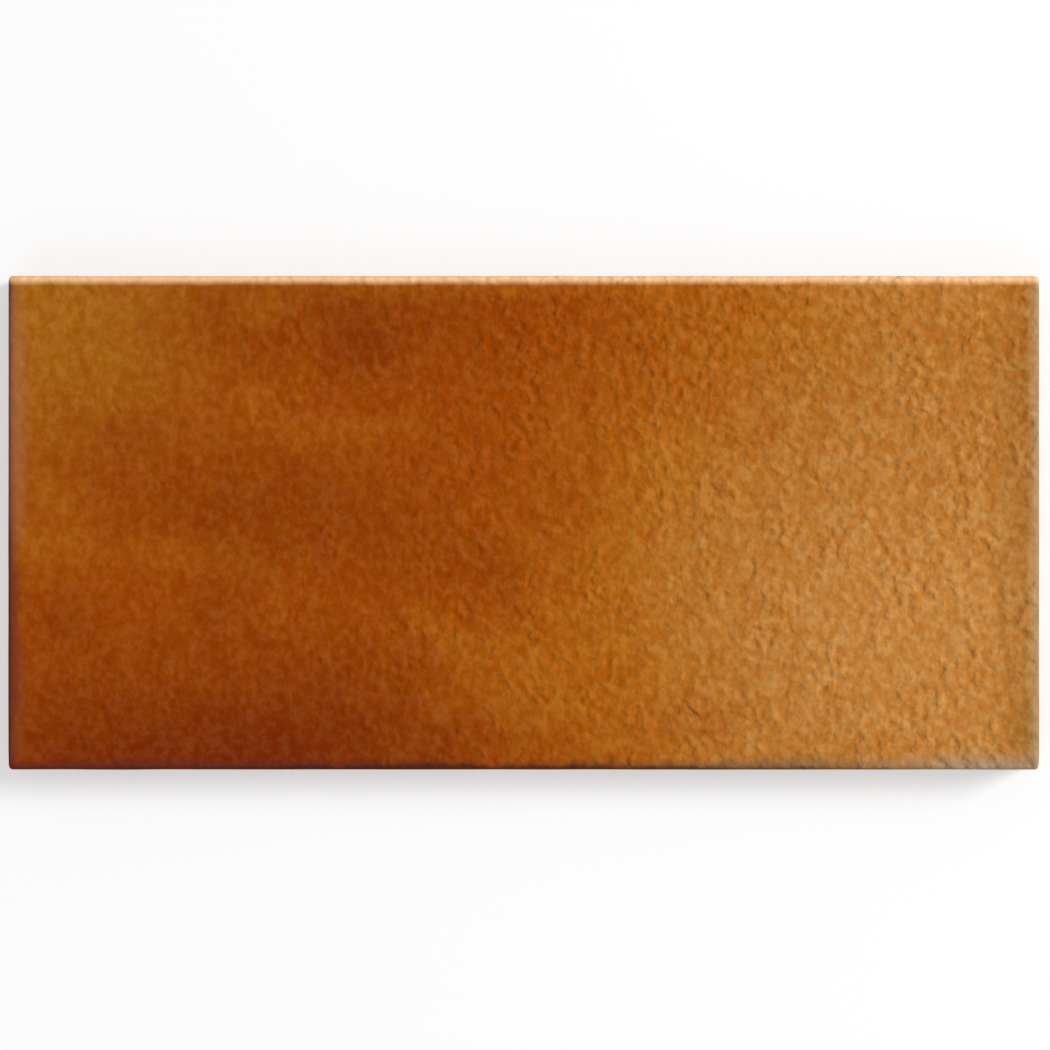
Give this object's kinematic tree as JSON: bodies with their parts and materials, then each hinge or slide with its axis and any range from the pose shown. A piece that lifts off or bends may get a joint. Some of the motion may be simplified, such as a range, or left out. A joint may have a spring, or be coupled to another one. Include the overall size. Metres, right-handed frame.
{
  "type": "split floor tile",
  "caption": "Rectangular extruded clay floor tile with a flashed, grained wearing face, rounded arrises and a back of dovetail ribs that ends in split faces.",
  "frame": {"origin": "middle of the back, on the plane of the split faces that the tile lies on", "axes": "+X along the length, the way the clay was extruded; +Y across the width; +Z out of the wearing face"},
  "size_m": [0.24, 0.115, 0.012],
  "materials": {
    "fired_clay": "matte"
  },
  "bodies": {
    "root": {"split_tile": "fired_clay"}
  },
  "joints": []
}
